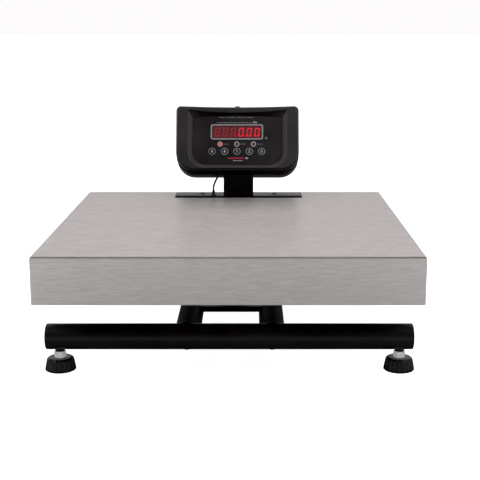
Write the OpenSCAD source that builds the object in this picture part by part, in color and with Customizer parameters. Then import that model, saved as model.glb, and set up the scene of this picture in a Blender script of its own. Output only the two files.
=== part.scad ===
// Platform shipping scale: a stainless tray on a single-point load cell, a black
// tubular ground frame on four levelling feet, and a tilted indicator on a folded bracket.
// Millimetres. Origin on the floor under the middle of the pan; +X right, +Y back, +Z up.

/* [Weighing pan] */
// Width of the pan, left to right
pan_w = 500; // [480:5:560]
// Depth of the pan, front to back
pan_d = 500; // [480:5:560]
// Height of the pan's folded skirt
pan_h = 62.7; // [56:0.1:66]
// Thickness of the stainless sheet
pan_t = 1.2; // [1:0.1:1.6]
// Outside radius of the folded top edges
pan_bend = 3; // [2.4:0.1:4]
// Height of the pan's top above the floor, feet screwed in
pan_top = 171.5; // [171.5:0.5:180]

/* [Ground frame] */
// Outside diameter of every frame tube
tube_d = 34.9; // [32:0.1:36]
// Wall of the frame tubes
tube_wall = 1.5; // [1.2:0.1:2]
// Length of each cross tube, plugs included
tube_len = 491; // [480:1:520]
// Distance from the middle to each cross tube
tube_y = 182.4; // [175:0.1:200]
// Distance between the two rails, centre to centre
rail_gap = 115; // [110:1:125]
// Distance between the left and right feet
foot_gap = 456; // [440:1:462]

/* [Levelling feet] */
// Largest diameter of the fluted knob
knob_d = 42; // [38:0.5:46]
// Number of flutes round the knob
flutes = 18; // [12:1:24]
// Height of the knob's top above the floor
knob_top = 18.35; // [16:0.05:20]
// Across-flats size of the hex collar
hex_af = 14.3; // [13:0.1:17]
// Major diameter of the stud
stud_d = 9.525; // [8:0.005:10]
// Length of stud above the hex collar
stud_len = 26; // [22:1:28]

/* [Load cell] */
// Length of the load cell
cell_l = 150; // [130:1:160]
// Width of the load cell
cell_w = 40; // [34:1:42]
// Height of the load cell
cell_h = 50; // [40:1:50]
// Gap above the overload stops with nothing on the pan
stop_gap = 0.65; // [0.5:0.05:1]

/* [Indicator] */
// Sideways offset of the bracket and indicator from the pan's middle
column_x = 8; // [-20:1:20]
// Width of the indicator housing
head_w = 202.4; // [190:0.1:220]
// Height of the housing, measured up its tilted face
head_h = 109; // [104:0.1:116]
// Tilt of the face back from upright
head_tilt = 20; // [15:1:25]
// Depth of the housing, face to back
head_d = 60; // [54:1:70]

/* [Bracket] */
// Width of the flange on the pan
flange_w = 211; // [190:1:230]
// Depth of the flange, front to back
flange_d = 38; // [30:1:45]
// Width of the neck
neck_w = 49.5; // [44:0.5:56]
// Width of the bracket's head plate inside the housing
tee_w = 158; // [140:1:160]
// Thickness of the bracket plate
plate_t = 3; // [2.5:0.1:3]

/* [Hidden] */
$fn = 64;
eps = 0.01; // overlap between joined shapes

// Heights stack up from the floor: foot, tube, base plate, cell, spider, pan.
tube_r = tube_d / 2;
hex_h = 8.3;
hex_gap = 0.3; // between the hex collar and the boss
boss_h = 2.4; // boss showing below the tube
tube_z = knob_top + hex_h + hex_gap + boss_h + tube_r;
base_z = tube_z + 5;
base_t = 8;
spacer_t = 8;
cell_z = base_z + base_t + spacer_t;
cell_mid = cell_z + cell_h / 2;
cell_top = cell_z + cell_h;
spider_z = cell_top + spacer_t;
spider_t = 6;
beam = 30; // side of the square tube
beam_z = spider_z + spider_t;
pan_in = pan_top - pan_t;
flange_top = pan_top + plate_t;

// Colours shared by several pieces.
black = [0.035, 0.035, 0.037];
zinc = [0.72, 0.72, 0.7];
soft_black = [0.05, 0.05, 0.05];
deep_black = [0.03, 0.03, 0.03];

// ---- helpers ----
// Turns a child that rises from z = 0 to lie along an axis, centred.
module along_x(length) { rotate([0, 90, 0]) translate([0, 0, -length / 2]) children(); }
module along_y(length) { rotate([90, 0, 0]) translate([0, 0, -length / 2]) children(); }
module rod_x(length, radius) { along_x(length) cylinder(r = radius, h = length); }
module rod_y(length, radius) { along_y(length) cylinder(r = radius, h = length); }
module box(x, y, z0, z1) { translate([-x / 2, -y / 2, z0]) cube([x, y, z1 - z0]); }
module hex(flats, height) { cylinder(r = flats / 2 / cos(30), h = height, $fn = 6); }
module mirror_copy(axis) { children(); mirror(axis) children(); }

// A socket-head screw, head above z = 0 and shank below it.
module cap_screw(dia, length) {
  difference() {
    union() {
      cylinder(d = dia * 1.6, h = dia);
      translate([0, 0, -length]) cylinder(d = dia, h = length + eps);
    }
    translate([0, 0, dia * 0.45]) hex(dia * 0.75, dia);
  }
}

// A 5 mm domed-head screw, head above z = 0; dome_z is the centre of the dome's sphere.
module dome_screw(head_dia, head_height, dome_z, length) {
  difference() {
    union() {
      intersection() {
        cylinder(d = head_dia, h = head_height);
        translate([0, 0, dome_z]) sphere(r = 6.35);
      }
      translate([0, 0, -length]) cylinder(d = 5, h = length + eps);
    }
    translate([0, 0, 1.2]) hex(3, 3);
  }
}

module nut(flats, height, bore) {
  difference() {
    hex(flats, height);
    translate([0, 0, -1]) cylinder(d = bore, h = height + 4);
  }
}

// ---- ground frame ----
foot_x = foot_gap / 2;
rail_x = rail_gap / 2;
plug_t = 2; // plug's cap outside the tube
plug_in = 8; // plug's depth inside the tube
plug_round = 1.4;
boss_r = 6.5;

module cross_tube(y) {
  color(black) translate([0, y, tube_z]) difference() {
    rod_x(tube_len - 2 * plug_t, tube_r);
    rod_x(tube_len, tube_r - tube_wall);
    mirror_copy([1, 0, 0]) translate([foot_x, 0, -tube_r - 1]) cylinder(r = boss_r, h = tube_r);
  }
}

// A rail, its ends coped to fit round the cross tubes.
module rail(x) {
  length = 2 * tube_y;
  color(black) difference() {
    translate([x, 0, tube_z]) rod_y(length, tube_r);
    translate([x, 0, tube_z]) rod_y(length + 4, tube_r - tube_wall);
    for (y = [-tube_y, tube_y]) translate([x, y, tube_z]) rod_x(60, tube_r + 0.05);
  }
}

// A round plug with its cap towards +X and a rounded rim.
module tube_plug() {
  rotate([0, 90, 0]) rotate_extrude() difference() {
    translate([0, -plug_in]) square([tube_r, plug_in + plug_t]);
    translate([tube_r - tube_wall - 0.05, -plug_in - eps]) square([10, plug_in + eps]);
    translate([tube_r - plug_round, plug_t - plug_round]) difference() {
      square(3);
      circle(r = plug_round);
    }
  }
}
module tube_end_plugs() {
  color(black) for (y = [-tube_y, tube_y]) mirror_copy([1, 0, 0])
    translate([tube_len / 2 - plug_t, y, tube_z]) tube_plug();
}

module foot_bosses() {
  color(black) for (x = [-foot_x, foot_x], y = [-tube_y, tube_y])
    translate([x, y, tube_z - tube_r - boss_h]) difference() {
      cylinder(r = boss_r, h = 18);
      translate([0, 0, -1]) cylinder(r = stud_d / 2 + 0.06, h = 20);
    }
}

// ---- load cell and its fixings ----
// The cell lies along Y: its rear end is bolted to the base plate, its front end
// carries the spider.
base_l = 164;
hole_edge = 10; // from a bolt hole to the end of the cell or spacer
hole_far = cell_l / 2 - hole_edge;
hole_near = hole_far - 25;
cell_bolt_d = 8;
cell_clear_d = 8.4;
cell_bolt_grip = 18; // screw length inside the cell
cell_hole_depth = 21;
stop_x = 31;
stop_y = 60;
stop_d = 8;
stop_hole_d = 8.1;
stop_below = 4; // stop screw showing below the base plate
window_y = 16; // the two round windows through the cell's side
window_r = 14;
slot_h = 14; // slot joining the windows
boot_y = 48;

// Both bolt positions at one end of the cell; side is 1 for rear, -1 for front.
module at_cell_holes(side, z) {
  for (y = [hole_near, hole_far]) translate([0, side * y, z]) children();
}
module at_stops(z) {
  for (x = [-stop_x, stop_x], y = [-stop_y, stop_y]) translate([x, y, z]) children();
}

module cell_base_plate() {
  color(black) difference() {
    box(rail_gap, base_l, base_z, base_z + base_t);
    for (x = [-rail_x, rail_x]) translate([x, 0, tube_z]) rod_y(base_l + 2, tube_r);
    at_cell_holes(1, base_z - 1) cylinder(d = cell_clear_d, h = base_t + 2);
    at_stops(base_z - 1) cylinder(d = stop_hole_d, h = base_t + 2);
  }
}

module spacer(z, side) {
  length = cell_l / 2 - hole_near + hole_edge;
  color("silver") difference() {
    translate([-cell_w / 2, side > 0 ? hole_near - hole_edge : -cell_l / 2, z])
      cube([cell_w, length, spacer_t]);
    at_cell_holes(side, z - 1) cylinder(d = cell_clear_d, h = spacer_t + 2);
  }
}
module lower_cell_spacer() { spacer(cell_z - spacer_t, 1); }
module upper_cell_spacer() { spacer(cell_top, -1); }

module lower_cell_screws() {
  color(zinc) at_cell_holes(1, base_z) mirror([0, 0, 1])
    cap_screw(cell_bolt_d, base_t + spacer_t + cell_bolt_grip);
}
module upper_cell_screws() {
  color(zinc) at_cell_holes(-1, spider_z + spider_t)
    cap_screw(cell_bolt_d, spider_t + spacer_t + cell_bolt_grip);
}

// The two windows and their slot, run through the cell's width and shrunk by gap.
module cell_window(width, gap) {
  translate([0, 0, cell_mid]) along_x(width) {
    for (y = [-window_y, window_y]) translate([0, y, 0]) cylinder(r = window_r - gap, h = width);
    translate([gap - slot_h / 2, -window_y, 0]) cube([slot_h - 2 * gap, 2 * window_y, width]);
  }
}
module load_cell() {
  color([0.8, 0.81, 0.83]) difference() {
    box(cell_w, cell_l, cell_z, cell_top);
    cell_window(cell_w + 2, 0);
    at_cell_holes(1, cell_z - 1) cylinder(d = 8.2, h = cell_hole_depth + 1);
    at_cell_holes(-1, cell_top - cell_hole_depth) cylinder(d = 8.2, h = cell_hole_depth + 1);
  }
}
module load_cell_potting() { color([0.85, 0.85, 0.83]) cell_window(cell_w - 6, 0.1); }

// A short open cup on the cell's left side.
module load_cell_cable_boot() {
  color(black) translate([-cell_w / 2, boot_y, cell_mid]) rotate([0, -90, 0]) difference() {
    cylinder(r = 4.5, h = 8);
    translate([0, 0, 1]) cylinder(r = 3, h = 8);
  }
}

// Screws with a hex socket underneath; their tops stop just short of the spider plate.
module overload_stop_screws() {
  color(zinc) at_stops(base_z - stop_below) difference() {
    cylinder(d = stop_d, h = spider_z - stop_gap - base_z + stop_below);
    translate([0, 0, -1]) hex(4, 6);
  }
}
module overload_stop_nuts() {
  color(zinc) at_stops(base_z + base_t) nut(13, 6.5, stop_hole_d);
}

// ---- platform ----
beam_wall = 1.5;
cross_beam_y = 90;
side_beam_x = 185;
side_beam_l = 430;
beam_plug_t = 2;
beam_plug_in = 9;
beam_plug_inset = 1.6;
buffer_y = [-180, 0, 180];
buffer_z = beam_z + beam;

// Bracket places that the pan's holes share.
neck_y = 189; // front face of the neck
flange_bolt_x = 60.8;
flange_bolt_y = neck_y + 21;
flange_hole_d = 5.5;
cable_x = -33.7; // where the cable goes up through pan and flange
cable_y = 196;
cable_hole_r = 3.2;

module at_flange_bolts(z) {
  for (side = [-1, 1]) translate([column_x + side * flange_bolt_x, flange_bolt_y, z]) children();
}

// The section of a folded tray: square below, top corners rounded.
module tray_section(width, height, radius) {
  translate([-width / 2, 0]) square([width, height - radius]);
  translate([-width / 2 + radius, height - radius - eps])
    square([width - 2 * radius, radius + eps]);
  for (side = [-1, 1]) translate([side * (width / 2 - radius), height - radius])
    circle(r = radius);
}
module tray(width, depth, height, radius) {
  intersection() {
    along_y(depth) linear_extrude(depth) tray_section(width, height, radius);
    rotate([0, 0, 90]) along_y(width) linear_extrude(width) tray_section(depth, height, radius);
  }
}
module weighing_pan() {
  color([0.72, 0.71, 0.69]) difference() {
    translate([0, 0, pan_top - pan_h]) tray(pan_w, pan_d, pan_h, pan_bend);
    translate([0, 0, pan_top - pan_h - 1])
      tray(pan_w - 2 * pan_t, pan_d - 2 * pan_t, pan_h + 1 - pan_t, pan_bend - pan_t);
    at_flange_bolts(pan_in - 1) cylinder(d = flange_hole_d, h = 4);
    translate([cable_x, cable_y, pan_in - 1]) cylinder(r = cable_hole_r, h = 4);
  }
}

module spider_plate() {
  color(black) difference() {
    box(130, 2 * cross_beam_y + beam, spider_z, spider_z + spider_t);
    at_cell_holes(-1, spider_z - 1) cylinder(d = cell_clear_d, h = spider_t + 2);
  }
}

// A length of square tube along X, standing on z = 0.
module square_tube(length) {
  bore = beam - 2 * beam_wall;
  difference() {
    translate([-length / 2, -beam / 2, 0]) cube([length, beam, beam]);
    translate([-length / 2 - 1, -bore / 2, beam_wall]) cube([length + 2, bore, bore]);
  }
}
module spider_cross_beams() {
  color(black) for (y = [-cross_beam_y, cross_beam_y]) translate([0, y, beam_z])
    square_tube(2 * side_beam_x - beam);
}
module spider_side_beams() {
  color(black) for (x = [-side_beam_x, side_beam_x]) translate([x, 0, beam_z])
    rotate([0, 0, 90]) square_tube(side_beam_l);
}
module beam_end_plugs() {
  spigot = beam - 2 * beam_plug_inset;
  color(black) for (x = [-side_beam_x, side_beam_x]) mirror_copy([0, 1, 0])
    translate([x, side_beam_l / 2, beam_z + beam / 2]) {
      translate([-beam / 2, 0, -beam / 2]) cube([beam, beam_plug_t, beam]);
      translate([-spigot / 2, -beam_plug_in, -spigot / 2])
        cube([spigot, beam_plug_in + eps, spigot]);
    }
}
module rubber_buffers() {
  color(deep_black) for (x = [-side_beam_x, side_beam_x], y = buffer_y)
    translate([x, y, buffer_z]) cylinder(r = 12.5, h = pan_in - buffer_z);
}

// ---- bracket and cable ----
tee_low = pan_top + 41;
neck_top = pan_top + 57;
tee_bolt_x = 60;
tee_bolt_z = pan_top + 49;
tee_hole_r = 2.7;
fillet = 3; // behind the neck, where it meets the flange
exit_x = -27.5; // where the cable enters the housing
exit_y = 200;

module at_tee_bolts() {
  for (side = [-1, 1]) translate([column_x + side * tee_bolt_x, neck_y, tee_bolt_z]) children();
}

// An upright plate in the plane of the neck, centred on the column.
module neck_plate(width, z0, z1) {
  translate([column_x - width / 2, neck_y, z0]) cube([width, plate_t, z1 - z0]);
}
module indicator_bracket() {
  color(black) difference() {
    union() {
      translate([column_x - flange_w / 2, neck_y, pan_top]) cube([flange_w, flange_d, plate_t]);
      neck_plate(neck_w, pan_top, neck_top);
      neck_plate(tee_w, tee_low, neck_top);
      translate([column_x - neck_w / 2, neck_y + plate_t - eps, flange_top - eps]) difference() {
        cube([neck_w, fillet, fillet]);
        translate([-1, fillet, fillet]) rotate([0, 90, 0])
          cylinder(r = fillet - eps, h = neck_w + 2);
      }
    }
    at_flange_bolts(pan_top - 1) cylinder(d = flange_hole_d, h = 6);
    translate([cable_x, cable_y, pan_top - 1]) cylinder(r = cable_hole_r, h = 6);
    at_tee_bolts() rod_y(12, tee_hole_r);
  }
}
module bracket_screws() { color(black) at_flange_bolts(flange_top) dome_screw(9.5, 2.75, -3.6, 12); }

// Hex nuts under the pan, each with a round flange on top.
module bracket_nuts() {
  hex_part = 4.7;
  color(zinc) at_flange_bolts(pan_in - hex_part - 1) difference() {
    union() {
      hex(8, hex_part);
      translate([0, 0, hex_part - eps]) cylinder(d = 15, h = 1 + eps);
    }
    translate([0, 0, -1]) cylinder(d = 5.1, h = 8);
  }
}

// A bush through pan and flange, with a lip on each side and a sleeve on top.
module cable_grommet() {
  lip_r = 4.8;
  under = 1.5; // thickness of the lip under the pan
  color(soft_black) translate([cable_x, cable_y, 0]) difference() {
    union() {
      translate([0, 0, pan_in - under]) cylinder(r = 3.1, h = pan_t + plate_t + 3);
      translate([0, 0, flange_top]) cylinder(r = lip_r, h = 1.2);
      translate([0, 0, pan_in - under]) cylinder(r = lip_r, h = under);
      translate([0, 0, flange_top]) cylinder(r = 2.5, h = 7.5);
    }
    translate([0, 0, pan_in - 3]) cylinder(r = 1.65, h = 20);
  }
}

function bezier(p0, p1, p2, p3, t) =
  pow(1 - t, 3) * p0 + 3 * t * pow(1 - t, 2) * p1 + 3 * t * t * (1 - t) * p2 + t * t * t * p3;
function curve(p0, p1, p2, p3, steps) = [for (i = [0:steps]) bezier(p0, p1, p2, p3, i / steps)];

// From the boot out to the left and back, up through the grommet, into the housing.
cable_r = 1.5;
cable_low = [cable_x, cable_y, pan_in - 4];
cable_up = [cable_x, cable_y, flange_top + 8.5];
cable_points = concat(
  curve([-cell_w / 2 - 4, boot_y, cell_mid], [-60, boot_y, cell_mid],
    [-85, 80, cell_z + 20], [-85, 120, cell_z + 34], 6),
  curve([-84, 130, cell_z + 38], [-80, 175, cell_z + 52],
    [cable_x, cable_y, pan_in - 30], cable_low, 6),
  curve(cable_up, cable_up + [-0.6, 0.3, 7],
    [exit_x - 4.6, exit_y - 0.4, pan_top + 24], [exit_x, exit_y, pan_top + 31.5], 7),
  [[exit_x, exit_y, pan_top + 45]]);
module load_cell_cable() {
  color([0.04, 0.04, 0.04]) for (i = [0:len(cable_points) - 2]) hull() {
    translate(cable_points[i]) sphere(r = cable_r, $fn = 14);
    translate(cable_points[i + 1]) sphere(r = cable_r, $fn = 14);
  }
}

// ---- indicator, in its own tilted frame: x right, y into the housing, z up the face ----
head_x = column_x - 1.4;
head_y = 163.8;
head_z = pan_top + 49.5;
top_r = 8; // upper corners of the housing
low_r = 31; // lower corners
dip = 1.9; // how far the top edge dips in the middle
wall = 2.9;
rear_drop = 2; // how far the rear shell hangs below the front one
split_y = 20; // joint between the two shells
floor_y = 7; // front of the panel floor
floor_in = floor_y + 2.5; // its inner face
back_in = head_d - 2.5; // inner face of the back wall
bevel_y = head_d - 6; // start of the stepped back edge
screw_y = head_d - 3; // seat of the housing screws
pocket_w = 168; // pocket in the underside for the bracket
pocket_front = 4.2; // pocket's reach in front of the neck
pocket_back = 0.2; // and behind it
pocket_wall = 2.5;
gland_r = 4;
post_r = 4;
board_y = 17.5;
board_t = 1.6;
window_x = -1;
digit_z = 65.8;
digit_x = [for (i = [0:5]) -33 + 13.1 * i];
digit_size = [12.6, 9.5, 19];

// Points on the face, as [x, z].
leds = [for (x = [-28.6, -1.1, 26.4]) [x, 45.3]];
keys = [for (x = [-41.6, -21.2, -0.9, 19.5, 39.8]) [x, 33.1]];
posts = [[-86, 32], [86, 32], [-86, 90], [86, 90]];
board_holes = [[-71, 29], [71, 29], [-71, 83], [71, 83]];
inlet = [50, 34];

module at_head() { translate([head_x, head_y, head_z]) rotate([-head_tilt, 0, 0]) children(); }
// Undoes at_head(), for features placed in the scale's frame.
module from_head() { rotate([head_tilt, 0, 0]) translate([-head_x, -head_y, -head_z]) children(); }
// A face outline given thickness from depth y0 to y1.
module slab(y0, y1) { translate([0, y1, 0]) rotate([90, 0, 0]) linear_extrude(y1 - y0) children(); }
// Rods along y, from depth y0 to y1, at each of the points.
module pins(points, y0, y1, radius) {
  for (p = points) translate([p[0], y1, p[1]]) rotate([90, 0, 0]) cylinder(r = radius, h = y1 - y0);
}

// The housing's outline, shrunk by inset, its lower edge moved down by drop.
module head_outline(inset, drop = 0) {
  half = head_w / 2;
  dip_r = (pow(half - top_r, 2) + dip * dip) / (2 * dip);
  corner = max(top_r - inset, 0.8);
  corner_z = head_h - inset - corner;
  difference() {
    union() {
      translate([-half + inset, low_r - drop])
        square([2 * (half - inset), corner_z - low_r + drop]);
      translate([-half + low_r, inset - drop])
        square([2 * (half - low_r), corner_z - inset + drop]);
      translate([-half + inset + corner, corner_z - eps])
        square([2 * (half - inset - corner), corner + eps]);
      for (side = [-1, 1]) {
        translate([side * (half - low_r), low_r - drop]) circle(r = low_r - inset);
        translate([side * (half - inset - corner), corner_z]) circle(r = corner);
      }
    }
    translate([0, head_h - inset - dip + dip_r]) circle(r = dip_r, $fn = 2400);
  }
}
// The overlay's outline: round lower corners and a top edge that arches up.
module panel_outline(grow) {
  half = 73.2 + grow;
  corner = 21.5 + grow;
  top = 93.6 + grow;
  low = 11.7 - grow;
  arch_r = 622;
  intersection() {
    union() {
      translate([-half, low + corner]) square([2 * half, top - low - corner]);
      translate([-half + corner, low]) square([2 * (half - corner), corner + eps]);
      for (side = [-1, 1]) translate([side * (half - corner), low + corner]) circle(r = corner);
    }
    translate([0, top - arch_r]) circle(r = arch_r, $fn = 900);
  }
}
module window_outline(grow) {
  half_w = 43.2 + grow;
  half_h = 12.9 + grow;
  corner = 4 + grow;
  translate([window_x, digit_z]) {
    square([2 * half_w, 2 * (half_h - corner)], center = true);
    square([2 * (half_w - corner), 2 * half_h], center = true);
    for (x = [-1, 1], y = [-1, 1])
      translate([x * (half_w - corner), y * (half_h - corner)]) circle(r = corner);
  }
}
// The pocket in the underside that takes the neck, enlarged by grow.
module neck_pocket(grow) {
  from_head()
    translate([column_x - pocket_w / 2 - grow, neck_y - pocket_front - grow, pan_top])
      cube([pocket_w + 2 * grow, plate_t + pocket_front + pocket_back + 2 * grow, 58 + grow]);
}

module front_housing() {
  color(black) at_head() difference() {
    union() {
      difference() {
        union() {
          slab(0, 1) head_outline(2.2);
          slab(1 - eps, 2.4) head_outline(0.8);
          slab(2.4 - eps, 3.4) head_outline(1.4);
          slab(3.4 - eps, split_y) head_outline(0.4);
          // block that fills the middle of the dip
          translate([-3.7, 3.5, head_h - 8]) cube([7.4, 4, 8]);
        }
        // stepped recess down to the panel floor
        slab(-1, 2.5) panel_outline(6.6);
        slab(2.4, 4.6) panel_outline(3.6);
        slab(4.5, floor_y) panel_outline(0.5);
        slab(floor_in, split_y + 1) head_outline(wall);
      }
      pins(posts, floor_y + 2, split_y, post_r);
    }
    slab(floor_y - 1, floor_y + 3) window_outline(-2.4);
    pins(leds, floor_y - 1, floor_y + 3, 2.7);
    pins(keys, floor_y - 1, floor_y + 3, 6);
    pins(posts, 12, split_y + 1, 1.5);
    neck_pocket(pocket_wall + 0.1);
  }
}

module rear_housing() {
  color(black) at_head() difference() {
    union() {
      slab(split_y, bevel_y) head_outline(0, rear_drop);
      slab(bevel_y - eps, back_in) head_outline(3, rear_drop);
      slab(back_in - eps, head_d) head_outline(8, rear_drop);
    }
    // the cavity, less the pocket's walls and the screw posts
    difference() {
      union() {
        slab(split_y - 1, split_y + 2.6) head_outline(wall);
        slab(split_y + 2.5, head_d - 7) head_outline(wall, rear_drop);
        slab(head_d - 7 - eps, back_in) head_outline(10.5, rear_drop);
      }
      neck_pocket(pocket_wall);
      pins(posts, split_y, head_d - 1, post_r);
    }
    neck_pocket(0);
    pins(posts, split_y - 1, head_d + 1, 1.7);
    pins(posts, screw_y, head_d + 1, 3.3);
    pins([inlet], head_d - 6, head_d + 1, 5.1);
    from_head() translate([exit_x, exit_y, pan_top + 20]) cylinder(r = gland_r + 0.1, h = 25);
    from_head() at_tee_bolts() rod_y(30, tee_hole_r);
  }
}
// Cross-slotted screws driven in from the back.
module housing_screws() {
  color(zinc) at_head() for (p = posts)
    translate([p[0], screw_y, p[1]]) rotate([-90, 0, 0]) difference() {
      union() {
        cylinder(d = 5.8, h = 2);
        translate([0, 0, -30]) cylinder(d = 2.9, h = 30 + eps);
      }
      translate([-2, -0.4, 1.1]) cube([4, 0.8, 2]);
      translate([-0.4, -2, 1.1]) cube([0.8, 4, 2]);
    }
}
module head_screws() {
  color(black) at_tee_bolts() rotate([90, 0, 0]) dome_screw(9.4, 2.6, -3.7, 13);
}
// Nuts on the inner side of the pocket's back wall.
module head_nuts() {
  color(zinc) at_tee_bolts() translate([0, plate_t + pocket_back + pocket_wall, 0])
    rotate([-90, 0, 0]) nut(8, 4, 5.1);
}

module overlay_panel() {
  color([0.02, 0.02, 0.022]) at_head() difference() {
    slab(floor_y - 0.8, floor_y - 0.02) panel_outline(0);
    slab(floor_y - 2, floor_y + 1) window_outline(0.1);
    pins(leds, floor_y - 2, floor_y + 1, 2.7);
    pins(keys, floor_y - 2, floor_y + 1, 5.8);
  }
}
module display_window() {
  color([0.25, 0.01, 0.02]) at_head() slab(floor_y - 1, floor_y) window_outline(0);
}
module digit_modules() {
  color([0.1, 0.1, 0.1]) at_head() for (x = digit_x)
    translate([x - digit_size[0] / 2, floor_y + 1, digit_z - digit_size[2] / 2]) cube(digit_size);
}
module status_leds() {
  color([0.8, 0.1, 0.08]) at_head() {
    pins(leds, floor_y - 0.6, 15, 2.5);
    pins(leds, 14.9, board_y, 2.9);
  }
}
module main_board() {
  color([0.05, 0.3, 0.14]) at_head() difference() {
    translate([-76, board_y, 24]) cube([152, board_t, 64]);
    pins(board_holes, 17, 20, 1.6);
  }
}
module board_screws() {
  color(zinc) at_head() {
    pins(board_holes, floor_in, 19.2, 1.45);
    pins(board_holes, board_y + board_t, 21, 2.7);
  }
}
// Square switch bodies on the board's front, each with a round button.
module key_switches() {
  color([0.12, 0.12, 0.12]) at_head() {
    for (p = keys) translate([p[0] - 3, board_y - 3, p[1] - 3]) cube([6, 3, 6]);
    pins(keys, 13.95, 14.6, 1.7);
  }
}
// A round key cap with a stem behind it; keys count from the left.
module key(index) {
  color([0.06, 0.06, 0.065]) at_head() {
    pins([keys[index]], floor_y - 0.9, floor_y + 0.4, 5.7);
    pins([keys[index]], floor_y + 0.3, 13.5, 2);
  }
}
module cable_gland() {
  color(soft_black) translate([exit_x, exit_y, pan_top + 32.5]) difference() {
    cylinder(r = gland_r, h = 9);
    translate([0, 0, -1]) cylinder(r = 1.75, h = 11);
  }
}
module power_inlet() {
  color([0.08, 0.08, 0.08]) at_head() difference() {
    pins([inlet], head_d - 14, head_d + 0.5, 5);
    pins([inlet], head_d - 9, head_d + 1, 2.8);
  }
}

// ---- levelling feet ----
knob_r = knob_d / 2;
knob_low = 0.8; // knob's underside above the floor
flute_r = 1.3;
flute_depth = 1.1;
pad_r = 15.1;
pad_h = 3;

module fluted_outline() {
  difference() {
    circle(r = knob_r);
    for (i = [0:flutes - 1]) rotate(360 / flutes * i) translate([knob_r + flute_r, 0])
      circle(r = flute_r + flute_depth, $fn = 24);
  }
}
module foot_knob(x, y) {
  // [radius, height], from the underside up to the rounded shoulder
  profile = [[0, knob_low], [knob_r - 0.7, knob_low], [knob_r, 1.6],
    [knob_r - 2.8, knob_top - 2.2], [knob_r - 3.3, knob_top - 1.5],
    [knob_r - 5, knob_top - 0.3], [knob_r - 5.8, knob_top], [0, knob_top]];
  color(deep_black) translate([x, y, 0]) difference() {
    intersection() {
      translate([0, 0, knob_low]) linear_extrude(knob_top - knob_low) fluted_outline();
      rotate_extrude() polygon(profile);
    }
    translate([0, 0, -1]) cylinder(r = pad_r + 0.1, h = pad_h + 1.2);
    translate([0, 0, -1]) cylinder(d = stud_d + 0.02, h = 30);
  }
}
// The stud and its hex collar, whose corners are chamfered.
module foot_stud(x, y) {
  flat_r = hex_af / 2;
  rim_r = flat_r + 1.2;
  chamfer = 0.7;
  color(zinc) translate([x, y, 0]) {
    translate([0, 0, 6]) cylinder(d = stud_d, h = knob_top + hex_h + stud_len - 6);
    translate([0, 0, knob_top]) intersection() {
      hex(hex_af, hex_h);
      rotate_extrude() polygon([[0, 0], [flat_r, 0], [rim_r, chamfer],
        [rim_r, hex_h - chamfer], [flat_r, hex_h], [0, hex_h]]);
    }
  }
}
// A round pad with two ring grooves in its underside.
module foot_pad(x, y) {
  color(soft_black) translate([x, y, 0]) difference() {
    cylinder(r = pad_r, h = pad_h);
    for (ring_r = [5, 10]) translate([0, 0, -1]) difference() {
      cylinder(r = ring_r + 1, h = 1.6);
      translate([0, 0, -1]) cylinder(r = ring_r - 1, h = 4);
    }
  }
}

cross_tube(-tube_y);  // front_cross_tube
cross_tube(tube_y);  // rear_cross_tube
rail(-rail_x);  // left_rail
rail(rail_x);  // right_rail
tube_end_plugs();
foot_bosses();
cell_base_plate();
lower_cell_spacer();
lower_cell_screws();
overload_stop_screws();
overload_stop_nuts();
load_cell();
load_cell_potting();
load_cell_cable_boot();
weighing_pan();
upper_cell_spacer();
upper_cell_screws();
spider_plate();
spider_cross_beams();
spider_side_beams();
beam_end_plugs();
rubber_buffers();
indicator_bracket();
bracket_screws();
bracket_nuts();
cable_grommet();
load_cell_cable();
front_housing();
rear_housing();
housing_screws();
head_screws();
head_nuts();
overlay_panel();
display_window();
digit_modules();
status_leds();
main_board();
board_screws();
key_switches();
cable_gland();
power_inlet();
key(0);  // up_key
key(1);  // down_key
key(2);  // tare_key
key(3);  // zero_key
key(4);  // unit_key
foot_knob(-foot_x, -tube_y);  // front_left_knob
foot_stud(-foot_x, -tube_y);  // front_left_stud
foot_pad(-foot_x, -tube_y);  // front_left_pad
foot_knob(foot_x, -tube_y);  // front_right_knob
foot_stud(foot_x, -tube_y);  // front_right_stud
foot_pad(foot_x, -tube_y);  // front_right_pad
foot_knob(-foot_x, tube_y);  // rear_left_knob
foot_stud(-foot_x, tube_y);  // rear_left_stud
foot_pad(-foot_x, tube_y);  // rear_left_pad
foot_knob(foot_x, tube_y);  // rear_right_knob
foot_stud(foot_x, tube_y);  // rear_right_stud
foot_pad(foot_x, tube_y);  // rear_right_pad
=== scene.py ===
"""A bench scale: a square steel pan on a tube frame, with a tilted display head behind the pan.

Metres, +Z up. The front faces -Y and +X is to the right as seen from the front. The head has
its own frame: u to the right, v up its face, and depth inwards from the face, all in mm.
"""
import bpy
import bmesh
import random
from math import cos, pi, radians, sin, sqrt, tan
from mathutils import Matrix, Vector

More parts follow.
